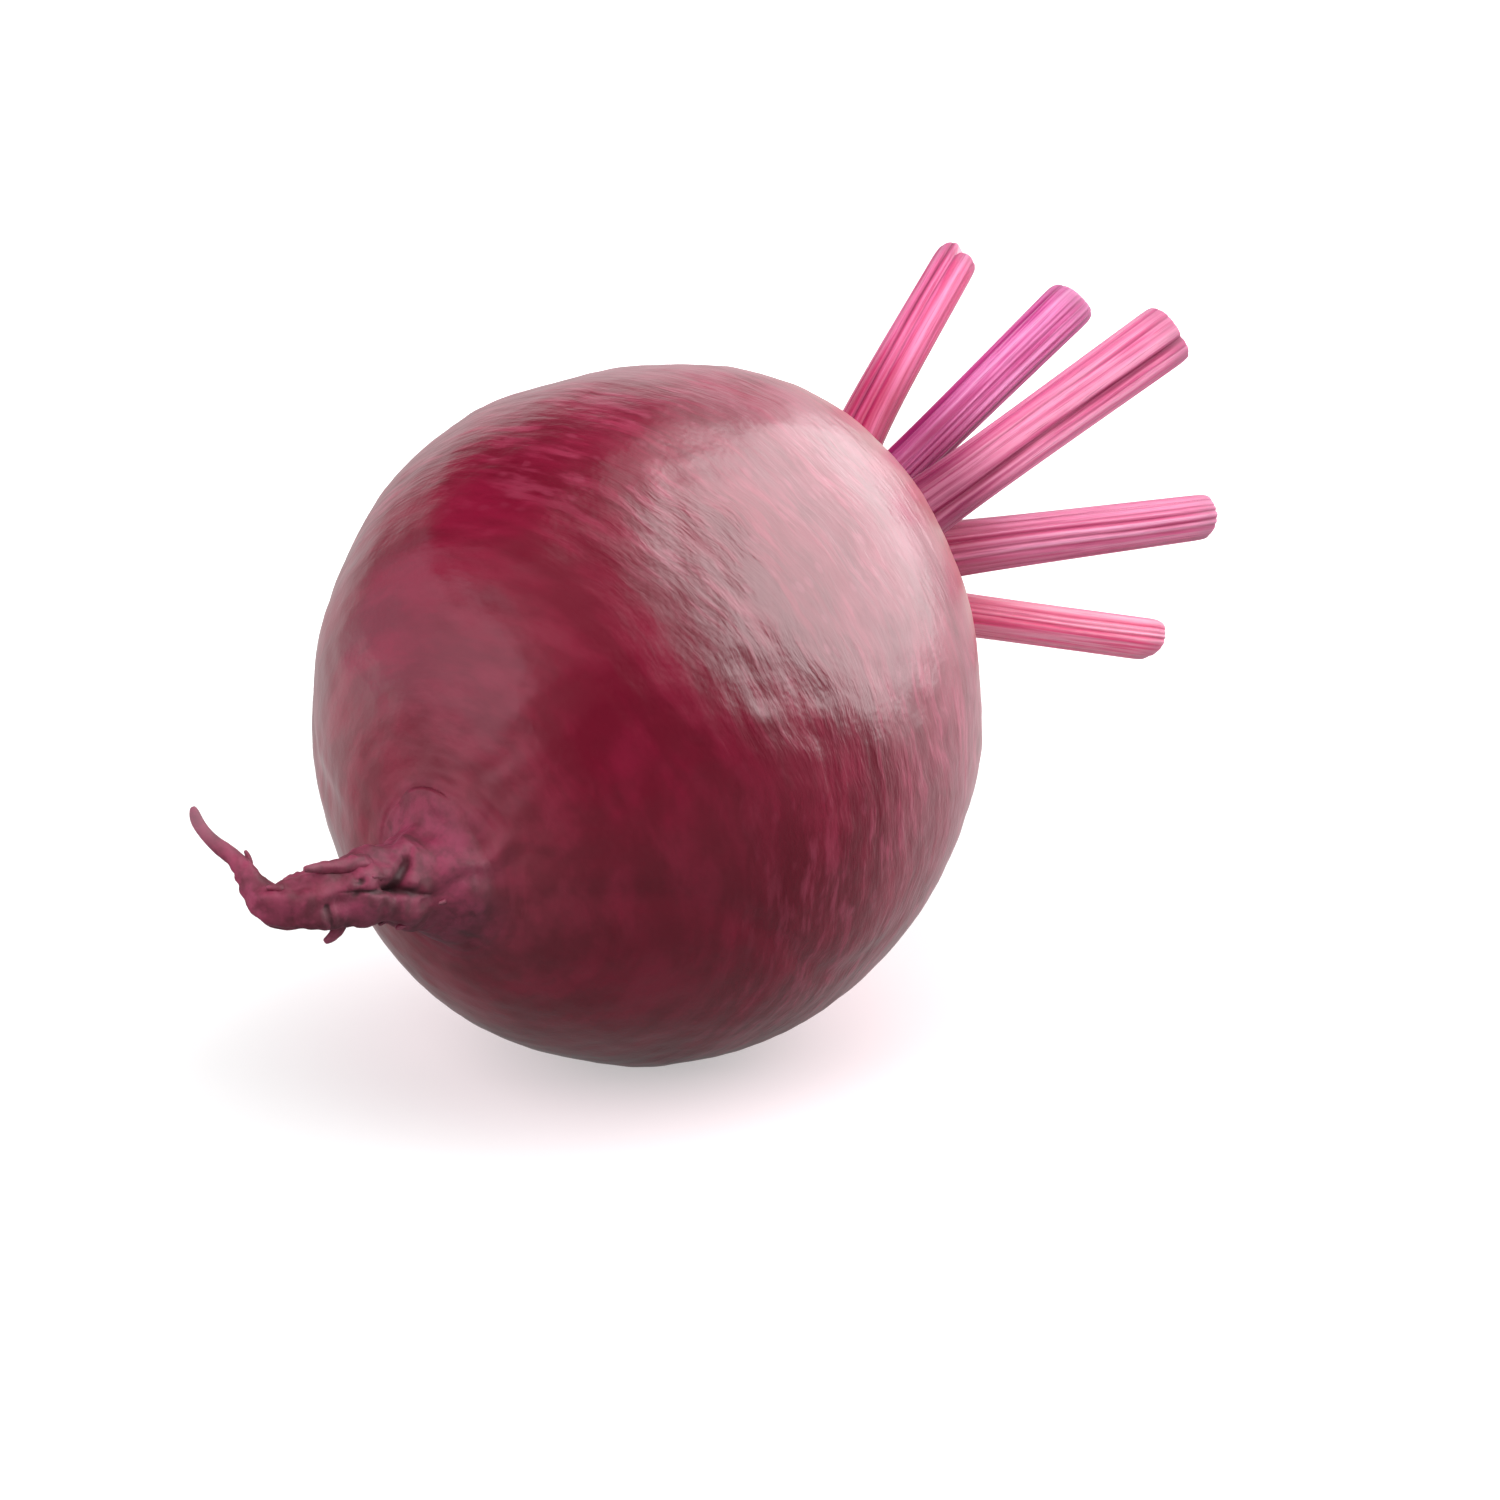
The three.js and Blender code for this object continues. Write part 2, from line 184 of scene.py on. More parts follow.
stemShape = {
    "net": (44, 13),         # sides and rings
    "stubNet": (20, 5),
    "stubSeed": 10,
    "sunk": 3 * mm,
    "bowAt": 0.35,
    "thickness": 0.8,
    "channel": 0.5,
    "channelWidth": 0.42,
    "flare": 0.3,
    "flareReach": 0.14,
    "lineDepth": 0.08,       # share of the half width
    "lineRise": 0.035,
    "hiddenLines": 4,        # on the side that turns away
    "hiddenSpread": 75,      # degrees either way
    "ribs": [(5, 0.02, 0.4), (11, 0.008, 1.1), (23, 0.003, 2.3)],   # how many, height, phase
    "footWidth": 0.92,
    "cap": [(1, 1), (0.45, 0.95), (0.12, 0.84), (0, 0.68), (0, 0.42)],   # rounding left, width
    "capSunk": 0.15 * mm,
    "capMiddle": 0.2,
    "notchAt": 0.4,          # where the cut end is notched or stepped, from the middle to the low side
    "notchWidth": 0.13,
    "stepAt": (0.28, 0.5),
    "cutGrain": 0.1 * mm,
    "cutGrainSize": 1.6 * mm,
    "cutPale": (0.72, 0.86),           # how far out the pale flesh reaches
    "endFade": (-5 * mm, -0.5 * mm),   # from the end, where its colour begins and where it is full
}

# short stubs of young leaves at the middle and the back of the crown
youngStubs = [
    {"foot": (0.4, 1.6), "tip": (0.9, 2.2, 53), "wide": (3.2, 2.8)},
    {"foot": (-4.6, 1.4), "tip": (-6.4, 2.2, 55), "wide": (4, 3.8)},
    {"foot": (-0.6, -2.6), "tip": (-1.4, -4.6, 51), "wide": (3.4, 3)},
    {"foot": (-8.8, 5.6), "tip": (-12.6, 8.2, 51.5), "wide": (5.4, 4.8)},
    {"foot": (-9.6, -2.4), "tip": (-14.6, -4, 53.5), "wide": (5.8, 5.2)},
    {"foot": (-4.6, -7.6), "tip": (-6.6, -12, 50), "wide": (5.2, 4.8)},
]

rootMiddle = np.array([0, 0, rootShape["middleHeight"]])
axisDirection = np.array([0, math.cos(rootShape["tilt"]), math.sin(rootShape["tilt"])])
sideDirection = np.array([1.0, 0, 0])
topDirection = np.cross(sideDirection, axisDirection)


def smoothStep(values, low, high):
    share = np.clip((values - low) / (high - low), 0, 1)
    return share * share * (3 - 2 * share)


def unit(vectors):
    return vectors / np.linalg.norm(vectors, axis=-1, keepdims=True)


def beside(side, top, along):   # a place from the root's middle, in mm
    return rootMiddle + (side * sideDirection + top * topDirection + along * axisDirection) * mm


def smoothLine(places, steps=80):   # a centripetal spline through the places, as dense points
    ends = [2 * places[0] - places[1], *places, 2 * places[-1] - places[-2]]
    points = []
    for a, b, c, d in zip(ends, ends[1:], ends[2:], ends[3:]):
        gapA, gapB, gapC = (math.sqrt(np.linalg.norm(q - p)) for p, q in ((a, b), (b, c), (c, d)))
        leave = ((b - a) / gapA - (c - a) / (gapA + gapB) + (c - b) / gapB) * gapB
        arrive = ((c - b) / gapB - (d - b) / (gapB + gapC) + (d - c) / gapC) * gapB
        t = np.linspace(0, 1, steps, endpoint=False)[:, None]
        points.append(b + leave * t + (3 * (c - b) - 2 * leave - arrive) * t ** 2
                      + (2 * (b - c) + leave + arrive) * t ** 3)
    points.append(places[-1][None])
    return np.concatenate(points)


class GuideLine:   # a line that a piece is laid along
    def __init__(self, places):
        self.points = smoothLine(places)
        steps = np.linalg.norm(np.diff(self.points, axis=0), axis=1)
        self.reach = np.concatenate([[0], np.cumsum(steps)])
        self.length = self.reach[-1]
        self.heading = np.gradient(self.points, self.reach, axis=0)

    def at(self, along):
        place, forward = (np.stack([np.interp(along, self.reach, values[:, k]) for k in range(3)], 1)
                          for values in (self.points, self.heading))
        return place, unit(forward)


spine = GuideLine([rootMiddle + np.array(p) * mm for p in tailShape["route"]]
                  + [rootMiddle + axisDirection * d for d in
                     (-rootShape["toTail"], -rootShape["toTail"] / 2, 0, rootShape["toCrown"])])
middleAlong = spine.length - rootShape["toCrown"]
tailLength = middleAlong - rootShape["toTail"]


def deselectAll():
    if bpy.context.object and bpy.context.object.mode != "OBJECT":
        bpy.ops.object.mode_set(mode="OBJECT")
    bpy.ops.object.select_all(action="DESELECT")


def selectOnly(pieces):
    deselectAll()
    for piece in pieces:
        piece.select_set(True)
    bpy.context.view_layer.objects.active = pieces[0]


def faceOutwards():   # from edit mode, which it leaves
    bpy.ops.mesh.select_all(action="SELECT")
    bpy.ops.mesh.normals_make_consistent(inside=False)
    bpy.ops.object.mode_set(mode="OBJECT")


def growTower(name, rings, sides):   # a disc extruded ring by ring, from (height, radius) pairs
    deselectAll()
    bpy.ops.mesh.primitive_circle_add(vertices=sides, radius=rings[0][1], fill_type="TRIFAN")
    piece = bpy.context.object
    piece.name = name
    piece.data.name = name
    bpy.ops.object.mode_set(mode="EDIT")
    bpy.ops.mesh.select_all(action="SELECT")
    bpy.ops.transform.translate(value=(0, 0, rings[0][0]))
    for (low, before), (high, radius) in zip(rings, rings[1:]):
        bpy.ops.mesh.extrude_region_move(TRANSFORM_OT_translate={"value": (0, 0, high - low)})
        share = radius / before
        bpy.ops.transform.resize(value=(share, share, 1), center_override=(0, 0, high))
    faceOutwards()
    return piece


def subdivide(piece, levels):
    rounding = piece.modifiers.new("rounding", "SUBSURF")
    rounding.levels = levels
    rounding.render_levels = levels
    bpy.ops.object.modifier_apply(modifier=rounding.name)


def vertexValues(piece, field):   # "co" for places, "normal" for normals
    flat = np.zeros(len(piece.data.vertices) * 3)
    piece.data.vertices.foreach_get(field, flat)
    return flat.reshape(-1, 3)


def movePoints(piece, points):
    piece.data.vertices.foreach_set("co", points.ravel())
    piece.data.update()


def addMasks(piece, **masks):   # values at the points, for the materials
    for name, values in masks.items():
        layer = piece.data.attributes.new(name, "FLOAT", "POINT")
        layer.data.foreach_set("value", np.asarray(values, dtype=np.float32))


def lumps(points, size, seed, count=24):   # seeded waves of about a size, from about -1 to 1
    draw = np.random.default_rng(seed)
    ways = draw.normal(size=(count, 3))
    ways *= draw.uniform(0.7, 1.3, (count, 1)) * fullTurn / size / np.linalg.norm(ways, axis=1)[:, None]
    return np.sin(points @ ways.T + draw.uniform(0, fullTurn, count)).sum(1) / math.sqrt(count) / waveTop


def ringWaves(reach, turn, spacing, seed, count=10):   # uneven rings round a root, about -1 to 1
    draw = np.random.default_rng(seed)
    total = np.zeros(len(reach))
    for _ in range(count):
        rate = fullTurn / spacing * draw.uniform(0.6, 1.5)
        lobes = draw.integers(1, 5)
        sway = draw.uniform(0.6, 2.2)
        phase, start = draw.uniform(0, fullTurn, 2)
        total += np.sin(rate * reach + sway * np.sin(lobes * turn + start) + phase)
    return total / math.sqrt(count) / waveTop


def turnFrom(turn, middle):   # angle from a middle, both in radians, wrapped to half a turn either way
    return (turn - middle + math.pi) % fullTurn - math.pi


def finishPiece(piece, nodes, material):
    selectOnly([piece])
    bpy.ops.object.mode_set(mode="EDIT")
    faceOutwards()
    bpy.ops.object.shade_smooth()
    piece.data.materials.append(material)
    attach(piece, "root")
    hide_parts(*nodes)
    print(piece.name, len(piece.data.polygons), "faces")


def tailRadius(along):
    s = tailShape
    thick = 1 / (1 + np.exp((s["thinsAt"] - along) / s["thinsOver"]))
    fromRoot = np.maximum(tailLength - along, 0)
    flare = s["flareRadius"] * np.exp(-fromRoot / s["flareReach"])
    flare = flare + s["lip"] * np.exp(-fromRoot / s["lipReach"])
    return s["tipRadius"] + (s["baseRadius"] - s["tipRadius"]) * thick + flare


def crownLift(radius):
    s = rootShape
    plate = 1 - smoothStep(radius, s["crownRadius"], s["shoulderRadius"])
    return s["crownLift"] * plate - s["crownHollow"] * np.exp(-(radius / (s["crownRadius"] * 0.35)) ** 2)


def crownSurface(radius):   # height over the widest place
    s = rootShape
    return s["toCrown"] * math.sqrt(1 - (radius / s["halfWidth"]) ** 2) + crownLift(radius)


def rootRings():   # (along, radius) from the tail's tip to the crown
    s = rootShape
    rings = [(0, tailShape["tipRadius"] * 0.6)]
    for along in np.linspace(0, tailLength, s["tailRings"], endpoint=False)[1:]:
        rings.append((along, tailRadius(along)))
    for turn in np.linspace(0.05, math.pi / 2, s["lowerRings"]):
        around = s["halfWidth"] * math.sin(turn)
        along = middleAlong - s["toTail"] * math.cos(turn)
        tail = tailRadius(along) ** s["blend"] * max(1 - around / s["halfWidth"], 0)
        rings.append((along, (around ** s["blend"] + tail) ** (1 / s["blend"])))
    plate = 1.15 * s["crownRadius"]
    crownEdge = math.pi - math.asin(plate / s["halfWidth"])
    for turn in np.linspace(math.pi / 2, crownEdge, s["upperRings"])[1:]:
        around = s["halfWidth"] * math.sin(turn)
        rings.append((middleAlong - s["toCrown"] * math.cos(turn) + crownLift(around), around))
    for around in np.linspace(plate, 0, s["crownRings"], endpoint=False)[1:]:
        rings.append((middleAlong + crownSurface(around), around))
    return [(float(along), float(radius)) for along, radius in rings]


def swelling(fromMiddle):
    ways = fromMiddle / np.maximum(np.linalg.norm(fromMiddle, axis=1, keepdims=True), 1e-9)
    total = np.zeros(len(ways))
    for towards, height in swellings:
        away = np.arccos(np.clip(ways @ unit(np.array(towards)), -1, 1))
        total += height * mm * np.exp(-(away / rootShape["swellingSpread"]) ** 2)
    return total


def layAlongSpine(local):   # straight coordinates to the bent root, and each point's own measures
    s = rootShape
    side, top, along = -local[:, 0], local[:, 1], local[:, 2]
    radius = np.hypot(side, top)
    turn = np.arctan2(side, top)
    onFlank = smoothStep(radius, 0, s["halfWidth"] * 0.6)
    tall = 1 + (s["halfHeight"] / s["halfWidth"] - 1) * onFlank
    waves = np.sin(along / mm * 1.25 + 2 * np.sin(turn)) + np.sin(along / mm * 0.7 - 3 * turn)
    knots = np.where(along < tailLength, tailShape["knots"] * radius * waves, 0)
    outward = radius + onFlank * swelling(np.stack([side, top, along - middleAlong], 1)) + knots
    place, forward = spine.at(along)
    sideWay = unit(np.cross(forward, (0, 0, 1)))
    topWay = np.cross(sideWay, forward)
    pastEnd = along - np.clip(along, 0, spine.length)
    laid = (place + sideWay * (outward * np.sin(turn))[:, None]
            + topWay * (outward * np.cos(turn) * tall)[:, None] + forward * pastEnd[:, None])
    return laid, radius, turn, along


def creaseMask(along, turn, radius, crease):   # 1 in the crease, 0 away from it
    (alongA, turnA), (alongB, turnB), halfWidth, _ = crease
    middle, swing = math.radians((turnA + turnB) / 2), math.radians(turnB - turnA) / 2
    offTurn = turnFrom(turn, middle)
    here = np.stack([along / mm, offTurn * radius / mm], 1)
    a = np.array([alongA, -swing * tailRadius(alongA * mm) / mm])
    b = np.array([alongB, swing * tailRadius(alongB * mm) / mm])
    t = np.clip(((here - a) @ (b - a)) / ((b - a) @ (b - a)), 0, 1)[:, None]
    away = np.linalg.norm(here - (a + t * (b - a)), axis=1)
    away = away * (1 + 0.3 * np.sin(2.6 * along / mm + 5 * turn))   # its sides are wavy
    taper = 0.35 + 0.65 * smoothStep(t[:, 0], 0, 0.5)
    return taper * np.exp(-(away / (halfWidth * taper)) ** 2) * (np.abs(offTurn) < math.pi / 2)


def skinReach(along, radius):   # how far along the skin a point is from the tail's tip
    profile = np.array(rootRings() + [(middleAlong + crownSurface(0), 0)])
    skin = np.concatenate([[0], np.cumsum(np.hypot(*np.diff(profile, axis=0).T))])
    rising = np.maximum.accumulate(profile[:, 0])
    widest = profile[:, 1].argmax()
    lower = np.interp(along, rising, skin)
    upper = np.interp(-radius, -profile[widest:, 1], skin[widest:])
    tailEnd = np.interp(tailLength, rising, skin)
    nearCrown = (along > middleAlong) & (radius < 0.8 * rootShape["halfWidth"])
    return np.where(nearCrown, upper, lower), tailEnd


crownShape = {
    "edge": (15 * mm, 22 * mm),   # where the russet top fades into the skin
    "scars": 46,
    "scarTurn": 137.5,            # degrees from one scar to the next
    "firstScar": 8.2,             # mm from the crown's middle
    "scarStep": 0.19,
    "scarHalfWide": (2.2, 3.2),
    "scarHalfHigh": (0.9, 1.3),
    "scarBend": 14,
    "scarDepth": 0.3,
    "scarLip": 0.16,
    "seed": 7,
    "collar": 0.9 * mm,           # how high the crown swells round each stem
    "collarReach": 0.62,          # share of the stem's width
}


def leafScars():   # places of the scars that old leaves left: (side, top, half width, half height) in mm
    c = crownShape
    draw = np.random.default_rng(c["seed"])
    scars = []
    for step in range(c["scars"]):
        turn = step * math.radians(c["scarTurn"])
        place = np.array([math.sin(turn), math.cos(turn)]) * (c["firstScar"] + step * c["scarStep"])
        gaps = [np.hypot(*(place - np.array(s["foot"]))) - s["wide"][0] * c["collarReach"]
                for s in stems + youngStubs]
        if min(gaps) > 0:
            scars.append((*place, draw.uniform(*c["scarHalfWide"]), draw.uniform(*c["scarHalfHigh"])))
    return scars


def crownRelief(side, top, fromMiddle):   # leaf scars and the collars round the stems, and the scars' mask
    c = crownShape
    height = np.zeros(len(side))
    scarMask = np.zeros(len(side))
    upper = fromMiddle > 0
    for sideS, topS, halfWide, halfHigh in leafScars():
        outward = np.array([sideS, topS]) / math.hypot(sideS, topS)
        across = (side / mm - sideS) * outward[1] - (top / mm - topS) * outward[0]
        out = (side / mm - sideS) * outward[0] + (top / mm - topS) * outward[1]
        out = out + across ** 2 / c["scarBend"]   # scars curve round the crown
        off = np.hypot(across / halfWide, out / halfHigh)
        inside = np.exp(-off ** 2 * 1.3) * upper
        lip = np.exp(-((off - 1.15) / 0.35) ** 2) * upper
        height += (-c["scarDepth"] * inside + c["scarLip"] * lip) * mm
        scarMask = np.maximum(scarMask, inside)
    for s in stems + youngStubs:
        off = np.hypot(side / mm - s["foot"][0], top / mm - s["foot"][1]) / (s["wide"][0] * c["collarReach"])
        height += c["collar"] * np.exp(-off ** 4) * upper
    return height, scarMask


def furrowRelief(along, turn, radius):   # two furrows up opposite flanks
    s = rootShape
    height = np.zeros(len(along))
    fade = smoothStep(along - tailLength, *s["furrowFrom"])
    fade *= 1 - smoothStep(along - middleAlong, *s["furrowTo"])
    for middle in (s["furrowTurn"], s["furrowTurn"] + math.pi):
        off = np.abs(turnFrom(turn, middle + s["furrowSway"] * np.sin(along / s["furrowWave"])))
        height -= s["furrow"] * fade * np.exp(-(off * radius / s["furrowWidth"]) ** 2)
    return height


def tailRelief(laid, reach, turn, along):   # broken ring wrinkles and low ridges of the tail
    s = tailShape
    broken = np.clip(0.55 + 0.6 * lumps(laid, s["wrinklePatches"], 4), 0, 1)
    wrinkles = ringWaves(reach, turn, s["wrinkleSpacing"], 8) * broken
    ridges = np.cos(s["ridgeCount"] * turn + s["ridgeSway"] * lumps(laid, s["ridgePatches"], 5))
    return (s["wrinkle"] * wrinkles * smoothStep(along, *s["wrinklesFrom"])
            + s["ridge"] * ridges * smoothStep(along, *s["ridgesFrom"]))


def makeRoot(material):
    s = rootShape
    piece = growTower("beetRoot", rootRings(), s["sides"])
    subdivide(piece, 2)
    local = vertexValues(piece, "co")
    laid, radius, turn, along = layAlongSpine(local)
    movePoints(piece, laid)
    reach, tailEnd = skinReach(along, radius)
    onTail = 1 - smoothStep(reach - tailEnd, *tailShape["dullFoot"])
    nearTail = 1 - smoothStep(reach - tailEnd, *tailShape["smoothFoot"])
    onCrown = (1 - smoothStep(radius, *crownShape["edge"])) * (along > middleAlong)
    patchy = np.clip(0.5 + 0.6 * lumps(laid, s["ringPatches"], 6), 0, 1) * (1 - nearTail) * (1 - onCrown)
    height = s["lumps"] * lumps(laid, s["lumpSize"], 1) * (1 - onTail)
    height += s["grain"] * lumps(laid, s["grainSize"], 2)
    height += s["rings"] * ringWaves(reach, turn, s["ringSpacing"], 3) * patchy
    height += furrowRelief(along, turn, radius)
    height += tailRelief(laid, reach, turn, along) * onTail
    # a mask of the creases, for the painted shade laid in them
    dents = np.zeros(len(along))
    for crease in tailCreases:
        creased = creaseMask(along, turn, radius, crease)
        height -= crease[3] * mm * creased
        dents = np.maximum(dents, creased)
    relief, scarMask = crownRelief(-local[:, 0], local[:, 1], along - middleAlong)
    height += relief
    laid = laid + vertexValues(piece, "normal") * height[:, None]
    laid[:, 2] = np.maximum(laid[:, 2], 0)   # the flat spot it rests on
    movePoints(piece, laid)
    addMasks(piece, dents=dents, scars=scarMask, crown=onCrown, tail=onTail,
             tip=1 - smoothStep(along, *tailShape["paleTip"]), reach=reach)
    finishPiece(piece, ["beet_root"], material)


def stemTower(name, length, rounding, net):
    s = stemShape
    sides, rings = net
    body = [(length * k / rings, 1.0) for k in range(rings)]
    body[0] = (0, s["footWidth"])
    body = [ring for ring in body if ring[0] < length - rounding - 1 * mm]
    cap = [(length - rounding * left, width) for left, width in s["cap"]]
    cap.append((length - s["capSunk"], s["capMiddle"]))
    return growTower(name, [(z, r * mm) for z, r in body + cap], sides)


def stemLines(spec, seed):   # dark and light lines: the ones given, and a few drawn for the hidden side
    draw = np.random.default_rng(seed)
    dark = list(spec.get("dark", []))
    # the light lines are raised ribs that carry a painted highlight
    light = list(spec.get("light", []))
    spread = stemShape["hiddenSpread"]
    for _ in range(stemShape["hiddenLines"]):
        middle = spec.get("hidden", 90) + draw.uniform(-spread, spread)
        dark.append((middle, draw.uniform(3, 6), draw.uniform(0.3, 0.9)))
        light.append((middle + draw.uniform(10, 24), draw.uniform(4, 9), draw.uniform(0.3, 0.8)))
    return dark, light


def lineMask(turn, lines):
    most = np.zeros(len(turn))
    for middle, halfWidth, strength in lines:
        off = turnFrom(turn, math.radians(middle)) / math.radians(halfWidth)
        most = np.maximum(most, strength * np.exp(-off ** 2))
    return most


def trimmedEnd(spec, local, turn, inside, rise, share, seed):   # how far each point stands out at the cut
    s = stemShape
    nearEnd = smoothStep(share, 0.9, 1)
    lowSide = np.cos(turn - math.radians(spec.get("low", 0))) * np.minimum(inside, 1)
    cut = math.tan(math.radians(spec.get("slant", 0))) * rise * share ** 4
    cut -= spec.get("notch", 0) * mm * np.exp(-((lowSide - s["notchAt"]) / s["notchWidth"]) ** 2) * nearEnd
    cut -= spec.get("step", 0) * mm * smoothStep(lowSide, *s["stepAt"]) * nearEnd
    return cut + s["cutGrain"] * lumps(local, s["cutGrainSize"], seed + 40) * smoothStep(share, 0.96, 1)


def makeStem(name, spec, net, seed):
    s = stemShape
    at = beside(*spec["foot"], crownSurface(math.hypot(*spec["foot"]) * mm) / mm)
    end = beside(*spec["tip"])
    straight = unit(end - at)
    outward = unit(straight - axisDirection * (straight @ axisDirection))
    start = at - straight * s["sunk"]
    between = start + (end - start) * s["bowAt"] + outward * spec.get("bow", 0) * mm
    line = GuideLine([start, between, end])
    piece = stemTower(name, line.length, spec.get("round", 0.6) * mm, net)
    subdivide(piece, 2)
    local = vertexValues(piece, "co")
    along = local[:, 2]
    share = along / line.length
    inside = np.hypot(local[:, 0], local[:, 1]) / mm
    turn = np.arctan2(local[:, 1], -local[:, 0])
    darkLines, lightLines = stemLines(spec, seed)
    swayed = turn + 0.03 * np.sin(share * 9 + seed)
    dark = lineMask(swayed, darkLines)
    # light lines: raised ribs with a painted highlight on them
    light = lineMask(swayed, lightLines)
    rib = 1 + s["lineRise"] * light - s["lineDepth"] * dark
    for count, height, phase in s["ribs"]:
        rib += height * np.cos(count * turn + phase * (1 + 0.5 * share) + seed)
    across = np.cos(turn) * rib
    channel = 1 - s["channel"] * np.exp(-(across / s["channelWidth"]) ** 2) * (np.sin(turn) > 0)
    footWide, tipWide = spec["wide"]
    wide = (footWide + (tipWide - footWide) * share) / 2 * mm
    wide = wide * (1 + s["flare"] * np.exp(-share / s["flareReach"])) * inside
    rise = s["thickness"] * np.sin(turn) * rib * channel * wide
    cut = trimmedEnd(spec, local, turn, inside, rise, share, seed)
    place, forward = line.at(along)
    inward = unit(-outward + forward * (forward @ outward)[:, None])
    sideWay = np.cross(inward, forward)
    movePoints(piece, place + sideWay * (across * wide)[:, None] + inward * rise[:, None]
               + forward * cut[:, None])
    addMasks(piece, darkLine=np.minimum(dark, 1), lightLine=np.minimum(light, 1),
             share=np.clip((along - s["sunk"]) / (line.length - s["sunk"]), 0, 1),
             toEnd=smoothStep(along - line.length, *s["endFade"]),
             cutEnd=(1 - smoothStep(inside, *s["cutPale"])) * smoothStep(share, 0.9, 0.97),
             inside=inside, roundStem=turn / fullTurn + 0.5)
    return piece


drawRule = {"times": 1103515245, "plus": 12345, "span": 2147483648}


def nextDraw(draws):   # the next random share, from 0 to 1
    draws["state"] = math.fmod(draws["state"] * drawRule["times"] + drawRule["plus"], drawRule["span"])
    return draws["state"] / drawRule["span"]


def allRootlets():
    r = rootlets
    specs = list(r["stubs"])
    draws = {"state": float(r["firstDraw"])}
    leanLow, leanHigh = r["fineLean"]
    for _ in range(r["fine"]):
        along = 9 + (tailLength / mm - 10) * nextDraw(draws)
        around = 360 * nextDraw(draws)
        long = r["fineLong"] * (0.6 + 0.8 * nextDraw(draws))
        thick = r["fineThick"] * (0.8 + 0.5 * nextDraw(draws))
        lean = leanLow + (leanHigh - leanLow) * nextDraw(draws)
        specs.append({"along": along, "around": around, "long": long, "thick": thick, "lean": lean,
                      "curl": r["fineCurl"]})
    return specs


def makeRootlet(spec, index):   # a tapered peg that leaves the tail and curls towards its tip
    r = rootlets
    onTail, forward = (v[0] for v in spine.at(np.array([spec["along"] * mm])))
    sideWay = unit(np.cross(forward, (0, 0, 1)))
    topWay = np.cross(sideWay, forward)
    turn = math.radians(spec["around"])
    outward = sideWay * math.sin(turn) + topWay * math.cos(turn)
    surface = tailRadius(spec["along"] * mm)
    here = onTail + outward * surface * r["leaves"]
    places = [onTail + outward * surface * r["sunk"], here]
    for step in range(3):
        angle = math.radians(spec["lean"] + spec["curl"] * (step - 1) / 2)
        here = here + (outward * math.cos(angle) - forward * math.sin(angle)) * spec["long"] * mm / 3
        places.append(here)
    line = GuideLine(places)
    rings = [(z * line.length, spec["thick"] * width * mm) for z, width in r["rings"]]
    piece = growTower(f"rootlet{index}", rings, r["sides"])
    subdivide(piece, 2)
    local = vertexValues(piece, "co")
    place, heading = line.at(local[:, 2])
    across = unit(np.cross(heading, forward + outward * 0.3))
    other = np.cross(heading, across)
    uneven = 1 + r["unevenness"] * lumps(local, r["unevenSize"], 60 + index)
    movePoints(piece, place + across * (local[:, 0] * uneven)[:, None]
               + other * (local[:, 1] * uneven)[:, None])
    share = local[:, 2] / line.length
    addMasks(piece, tail=np.ones(len(local)), tip=r["tipShare"] * smoothStep(share, 0.6, 1),
             reach=local[:, 2] + spec["along"] * mm)
    return piece


def makeRootlets(material):
    pieces = [makeRootlet(spec, index) for index, spec in enumerate(allRootlets(), 1)]
    selectOnly(pieces)
    bpy.ops.object.join()
    pieces[0].name = "tailRootlets"
    pieces[0].data.name = "tailRootlets"
    finishPiece(pieces[0], ["beet_root"], material)


def linear(red, green, blue):   # a colour from 0-255 screen values
    def channel(value):
        value = value / 255
        return value / 12.92 if value <= 0.04045 else ((value + 0.055) / 1.055) ** 2.4
    return (channel(red), channel(green), channel(blue), 1)


def fillInputs(tree, node, inputs):   # each from another node's output, or a plain value
    for name, value in inputs.items():
        if isinstance(value, bpy.types.NodeSocket):
            tree.links.new(value, node.inputs[name])
        else:
            node.inputs[name].default_value = value


def addNode(tree, kind, inputs=None, **settings):
    made = tree.nodes.new("ShaderNode" + kind)
    for name, value in settings.items():
        setattr(made, name, value)
    fillInputs(tree, made, inputs or {})
    return made


def newGroup(name, inputs, outputs):   # inputs with their first values, None for a vector
    tree = bpy.data.node_groups.new(name, "ShaderNodeTree")
    for socketName, value in inputs.items():
        kind = "NodeSocketVector" if value is None else "NodeSocketFloat"
        socket = tree.interface.new_socket(socketName, in_out="INPUT", socket_type=kind)
        if value is not None:
            socket.default_value = value
    for socketName in outputs:
        tree.interface.new_socket(socketName, in_out="OUTPUT", socket_type="NodeSocketFloat")
    return tree, tree.nodes.new("NodeGroupInput").outputs, tree.nodes.new("NodeGroupOutput")


def math2(tree, operation, a, b=0.0):
    return addNode(tree, "Math", {0: a, 1: b}, operation=operation).outputs[0]


def times(tree, a, b):
    return math2(tree, "MULTIPLY", a, b)


def multiplyAdd(tree, a, b, c):
    return addNode(tree, "Math", {0: a, 1: b, 2: c}, operation="MULTIPLY_ADD").outputs[0]


def vectorMath(tree, operation, a, b=(0, 0, 0)):   # outputs: 0 a vector, 1 a value
    return addNode(tree, "VectorMath", {0: a, 1: b}, operation=operation).outputs


def mixColor(tree, factor, a, b):
    return addNode(tree, "Mix", {0: factor, 6: a, 7: b}, data_type="RGBA").outputs[2]


def ramp(tree, value, low, high, start=0.0, end=1.0):   # start below low, end above high, smooth between
    return addNode(tree, "MapRange", {
        "Value": value, "From Min": low, "From Max": high, "To Min": start, "To Max": end,
    }, interpolation_type="SMOOTHSTEP").outputs["Result"]


def combine(tree, x, y, z=0.0):
    return addNode(tree, "CombineXYZ", {0: x, 1: y, 2: z}).outputs[0]


